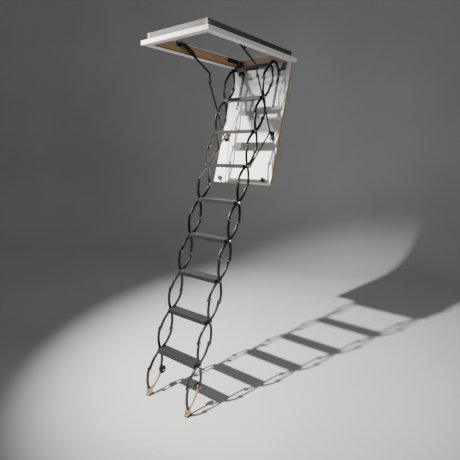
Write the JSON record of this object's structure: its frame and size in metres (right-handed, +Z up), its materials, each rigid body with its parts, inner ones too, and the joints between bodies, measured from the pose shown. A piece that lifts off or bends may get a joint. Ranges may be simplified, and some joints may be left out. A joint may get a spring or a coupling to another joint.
{
  "type": "scissor attic ladder",
  "caption": "Scissor attic ladder: a ceiling frame, a hinged hatch and a concertina of curved arms with ribbed treads, drawn down to the floor.",
  "frame": {"origin": "centre of the ceiling opening, in the plane of the ceiling's underside", "axes": "+X across the opening, +Y along it towards the hatch's hinges, +Z up"},
  "size_m": [0.6, 1.2326, 2.517],
  "materials": {
    "white_sheet": "smooth white paint",
    "white_laminate": "gloss white laminate on hardboard",
    "plywood": "bare plywood, satin",
    "gasket": "matt black",
    "black_paint": "satin black powder coat",
    "grey_paint": "fine-textured dark grey",
    "zinc_steel": "bright zinc",
    "bronze_paint": "satin light bronze",
    "brown_paint": "satin dark brown"
  },
  "bodies": {
    "frame": {"side_boards": "plywood", "end_boards": "plywood", "ceiling_trim": "white_sheet", "trim_gasket": "gasket", "frame_hinges": "black_paint", "stay_wall_brackets": "black_paint", "latch_keepers": "zinc_steel", "board_screws": "zinc_steel"},
    "hatch": {"hatch_core": "plywood", "hatch_inner_skin": "white_laminate", "hatch_outer_skin": "white_laminate", "hatch_hinges": "black_paint", "hinge_pins": "zinc_steel", "ladder_brackets": "black_paint", "top_rung": "black_paint", "rod_brackets": "black_paint", "latch_cases": "black_paint"},
    "latch": {"latch_bolts": "zinc_steel"},
    "stay_upper": {"stay_upper_arms": "black_paint", "stay_springs": "black_paint"},
    "stay_lower": {"stay_lower_links": "black_paint"},
    "rods": {"guide_rods": "brown_paint"},
    "inner_1": {"inner_arms_1": "black_paint"},
    "outer_1": {"outer_arms_1": "black_paint"},
    "inner_2": {"inner_arms_2": "black_paint"},
    "outer_2": {"outer_arms_2": "black_paint"},
    "step_2": {"tread_2": "grey_paint"},
    "inner_3": {"inner_arms_3": "black_paint"},
    "outer_3": {"outer_arms_3": "black_paint"},
    "step_3": {"tread_3": "grey_paint"},
    "inner_4": {"inner_arms_4": "black_paint"},
    "outer_4": {"outer_arms_4": "black_paint"},
    "step_4": {"tread_4": "grey_paint"},
    "inner_5": {"inner_arms_5": "black_paint"},
    "outer_5": {"outer_arms_5": "black_paint"},
    "step_5": {"tread_5": "grey_paint"},
    "inner_6": {"inner_arms_6": "black_paint"},
    "outer_6": {"outer_arms_6": "black_paint"},
    "step_6": {"tread_6": "grey_paint"},
    "inner_7": {"inner_arms_7": "black_paint"},
    "outer_7": {"outer_arms_7": "black_paint"},
    "step_7": {"tread_7": "grey_paint"},
    "inner_8": {"inner_arms_8": "black_paint"},
    "outer_8": {"outer_arms_8": "black_paint"},
    "step_8": {"tread_8": "grey_paint"},
    "inner_9": {"inner_arms_9": "black_paint"},
    "outer_9": {"outer_arms_9": "black_paint"},
    "step_9": {"tread_9": "grey_paint"},
    "front_leg_pair": {"front_legs": "black_paint"},
    "rear_leg_pair": {"rear_legs": "bronze_paint"},
    "feet": {"foot_shoes": "bronze_paint", "rubber_feet": "gasket"},
    "wheels": {"adjuster_wheels": "black_paint"}
  },
  "joints": [
    {"name": "hatch_hinge", "type": "hinge", "parent": "frame", "child": "hatch", "pos_m": [0, 0.506, -0.038], "axis": [1, 0, 0], "range_deg": [-54, 0]},
    {"name": "stay_upper_pivot", "type": "hinge", "parent": "frame", "child": "stay_upper", "pos_m": [0, -0.24, 0.042], "axis": [1, 0, 0], "range_deg": [0, 62.95]},
    {"name": "stay_lower_pivot", "type": "hinge", "parent": "hatch", "child": "stay_lower", "pos_m": [0, 0.27661, -0.64692], "axis": [1, 0, 0], "range_deg": [0, 1.11]},
    {"name": "ladder_fold", "type": "hinge", "parent": "hatch", "child": "inner_1", "pos_m": [0, 0.34183, -0.07403], "axis": [1, 0, 0], "range_deg": [-75.6, 0]},
    {"name": "outer_fold_1", "type": "hinge", "parent": "hatch", "child": "outer_1", "pos_m": [0, 0.34183, -0.07403], "axis": [1, 0, 0], "range_deg": [0, 32.41]},
    {"name": "front_knuckle_1", "type": "hinge", "parent": "inner_1", "child": "outer_2", "pos_m": [0, 0.23286, -0.18231], "axis": [1, 0, 0], "range_deg": [0, 108.02]},
    {"name": "tread_pivot_2", "type": "hinge", "parent": "outer_2", "child": "step_2", "pos_m": [0, 0.23067, -0.33592], "axis": [1, 0, 0], "range_deg": [-54.01, 0]},
    {"name": "shaft_cross_2", "type": "hinge", "parent": "outer_2", "child": "inner_2", "pos_m": [0, 0.23067, -0.33592], "axis": [1, 0, 0], "range_deg": [-108.02, 0]},
    {"name": "rear_knuckle_2", "type": "hinge", "parent": "outer_2", "child": "inner_3", "pos_m": [0, 0.22848, -0.48952], "axis": [1, 0, 0], "range_deg": [-108.02, 0]},
    {"name": "tread_pivot_3", "type": "hinge", "parent": "inner_3", "child": "step_3", "pos_m": [0, 0.1195, -0.5978], "axis": [1, 0, 0], "range_deg": [0, 54.01]},
    {"name": "shaft_cross_3", "type": "hinge", "parent": "inner_3", "child": "outer_3", "pos_m": [0, 0.1195, -0.5978], "axis": [1, 0, 0], "range_deg": [0, 108.02]},
    {"name": "front_knuckle_3", "type": "hinge", "parent": "inner_3", "child": "outer_4", "pos_m": [0, 0.01053, -0.70608], "axis": [1, 0, 0], "range_deg": [0, 108.02]},
    {"name": "tread_pivot_4", "type": "hinge", "parent": "outer_4", "child": "step_4", "pos_m": [0, 0.00834, -0.85968], "axis": [1, 0, 0], "range_deg": [-54.01, 0]},
    {"name": "shaft_cross_4", "type": "hinge", "parent": "outer_4", "child": "inner_4", "pos_m": [0, 0.00834, -0.85968], "axis": [1, 0, 0], "range_deg": [-108.02, 0]},
    {"name": "rear_knuckle_4", "type": "hinge", "parent": "outer_4", "child": "inner_5", "pos_m": [0, 0.00615, -1.01329], "axis": [1, 0, 0], "range_deg": [-108.02, 0]},
    {"name": "tread_pivot_5", "type": "hinge", "parent": "inner_5", "child": "step_5", "pos_m": [0, -0.10282, -1.12157], "axis": [1, 0, 0], "range_deg": [0, 54.01]},
    {"name": "shaft_cross_5", "type": "hinge", "parent": "inner_5", "child": "outer_5", "pos_m": [0, -0.10282, -1.12157], "axis": [1, 0, 0], "range_deg": [0, 108.02]},
    {"name": "front_knuckle_5", "type": "hinge", "parent": "inner_5", "child": "outer_6", "pos_m": [0, -0.21179, -1.22985], "axis": [1, 0, 0], "range_deg": [0, 108.02]},
    {"name": "tread_pivot_6", "type": "hinge", "parent": "outer_6", "child": "step_6", "pos_m": [0, -0.21399, -1.38345], "axis": [1, 0, 0], "range_deg": [-54.01, 0]},
    {"name": "shaft_cross_6", "type": "hinge", "parent": "outer_6", "child": "inner_6", "pos_m": [0, -0.21399, -1.38345], "axis": [1, 0, 0], "range_deg": [-108.02, 0]},
    {"name": "rear_knuckle_6", "type": "hinge", "parent": "outer_6", "child": "inner_7", "pos_m": [0, -0.21618, -1.53706], "axis": [1, 0, 0], "range_deg": [-108.02, 0]},
    {"name": "tread_pivot_7", "type": "hinge", "parent": "inner_7", "child": "step_7", "pos_m": [0, -0.32515, -1.64533], "axis": [1, 0, 0], "range_deg": [0, 54.01]},
    {"name": "shaft_cross_7", "type": "hinge", "parent": "inner_7", "child": "outer_7", "pos_m": [0, -0.32515, -1.64533], "axis": [1, 0, 0], "range_deg": [0, 108.02]},
    {"name": "front_knuckle_7", "type": "hinge", "parent": "inner_7", "child": "outer_8", "pos_m": [0, -0.43412, -1.75361], "axis": [1, 0, 0], "range_deg": [0, 108.02]},
    {"name": "tread_pivot_8", "type": "hinge", "parent": "outer_8", "child": "step_8", "pos_m": [0, -0.43631, -1.90722], "axis": [1, 0, 0], "range_deg": [-54.01, 0]},
    {"name": "shaft_cross_8", "type": "hinge", "parent": "outer_8", "child": "inner_8", "pos_m": [0, -0.43631, -1.90722], "axis": [1, 0, 0], "range_deg": [-108.02, 0]},
    {"name": "rear_knuckle_8", "type": "hinge", "parent": "outer_8", "child": "inner_9", "pos_m": [0, -0.4385, -2.06082], "axis": [1, 0, 0], "range_deg": [-108.02, 0]},
    {"name": "tread_pivot_9", "type": "hinge", "parent": "inner_9", "child": "step_9", "pos_m": [0, -0.54747, -2.1691], "axis": [1, 0, 0], "range_deg": [0, 54.01]},
    {"name": "shaft_cross_9", "type": "hinge", "parent": "inner_9", "child": "outer_9", "pos_m": [0, -0.54747, -2.1691], "axis": [1, 0, 0], "range_deg": [0, 108.02]},
    {"name": "front_leg_pivot", "type": "hinge", "parent": "inner_9", "child": "front_leg_pair", "pos_m": [0, -0.65644, -2.27738], "axis": [1, 0, 0], "range_deg": [0, 108.02]},
    {"name": "rear_leg_pivot", "type": "hinge", "parent": "outer_9", "child": "rear_leg_pair", "pos_m": [0, -0.54967, -2.32271], "axis": [1, 0, 0], "range_deg": [-108.02, 0]},
    {"name": "foot_pivot", "type": "hinge", "parent": "front_leg_pair", "child": "feet", "pos_m": [0, -0.65864, -2.43099], "axis": [1, 0, 0], "range_deg": [-54.01, 0]},
    {"name": "rod_pivot", "type": "hinge", "parent": "hatch", "child": "rods", "pos_m": [0, 0.28669, -0.59972], "axis": [1, 0, 0], "range_deg": [-117.92, 0]},
    {"name": "adjuster_turn", "type": "hinge", "parent": "outer_9", "child": "wheels", "pos_m": [0, -0.54967, -2.32271], "axis": [1, 0, 0], "continuous": true},
    {"name": "latch_slide", "type": "slide", "parent": "hatch", "child": "latch", "axis": [0, 0.309, 0.9511], "range_m": [0, 0.008], "stiffness_N_per_m": 300, "springref_m": -0.004}
  ],
  "couplings": [
    {"joint": "stay_upper_pivot", "follows": "hatch_hinge", "ratio": -1.165},
    {"joint": "stay_lower_pivot", "follows": "hatch_hinge", "ratio": -0.02037},
    {"joint": "outer_fold_1", "follows": "ladder_fold", "ratio": -0.42857},
    {"joint": "front_knuckle_1", "follows": "ladder_fold", "ratio": -1.4286},
    {"joint": "tread_pivot_2", "follows": "ladder_fold", "ratio": 0.71429},
    {"joint": "shaft_cross_2", "follows": "ladder_fold", "ratio": 1.4286},
    {"joint": "rear_knuckle_2", "follows": "ladder_fold", "ratio": 1.4286},
    {"joint": "tread_pivot_3", "follows": "ladder_fold", "ratio": -0.71429},
    {"joint": "shaft_cross_3", "follows": "ladder_fold", "ratio": -1.4286},
    {"joint": "front_knuckle_3", "follows": "ladder_fold", "ratio": -1.4286},
    {"joint": "tread_pivot_4", "follows": "ladder_fold", "ratio": 0.71429},
    {"joint": "shaft_cross_4", "follows": "ladder_fold", "ratio": 1.4286},
    {"joint": "rear_knuckle_4", "follows": "ladder_fold", "ratio": 1.4286},
    {"joint": "tread_pivot_5", "follows": "ladder_fold", "ratio": -0.71429},
    {"joint": "shaft_cross_5", "follows": "ladder_fold", "ratio": -1.4286},
    {"joint": "front_knuckle_5", "follows": "ladder_fold", "ratio": -1.4286},
    {"joint": "tread_pivot_6", "follows": "ladder_fold", "ratio": 0.71429},
    {"joint": "shaft_cross_6", "follows": "ladder_fold", "ratio": 1.4286},
    {"joint": "rear_knuckle_6", "follows": "ladder_fold", "ratio": 1.4286},
    {"joint": "tread_pivot_7", "follows": "ladder_fold", "ratio": -0.71429},
    {"joint": "shaft_cross_7", "follows": "ladder_fold", "ratio": -1.4286},
    {"joint": "front_knuckle_7", "follows": "ladder_fold", "ratio": -1.4286},
    {"joint": "tread_pivot_8", "follows": "ladder_fold", "ratio": 0.71429},
    {"joint": "shaft_cross_8", "follows": "ladder_fold", "ratio": 1.4286},
    {"joint": "rear_knuckle_8", "follows": "ladder_fold", "ratio": 1.4286},
    {"joint": "tread_pivot_9", "follows": "ladder_fold", "ratio": -0.71429},
    {"joint": "shaft_cross_9", "follows": "ladder_fold", "ratio": -1.4286},
    {"joint": "front_leg_pivot", "follows": "ladder_fold", "ratio": -1.4286},
    {"joint": "rear_leg_pivot", "follows": "ladder_fold", "ratio": 1.4286},
    {"joint": "foot_pivot", "follows": "ladder_fold", "ratio": 0.71429},
    {"joint": "rod_pivot", "follows": "ladder_fold", "ratio": 1.5595}
  ]
}
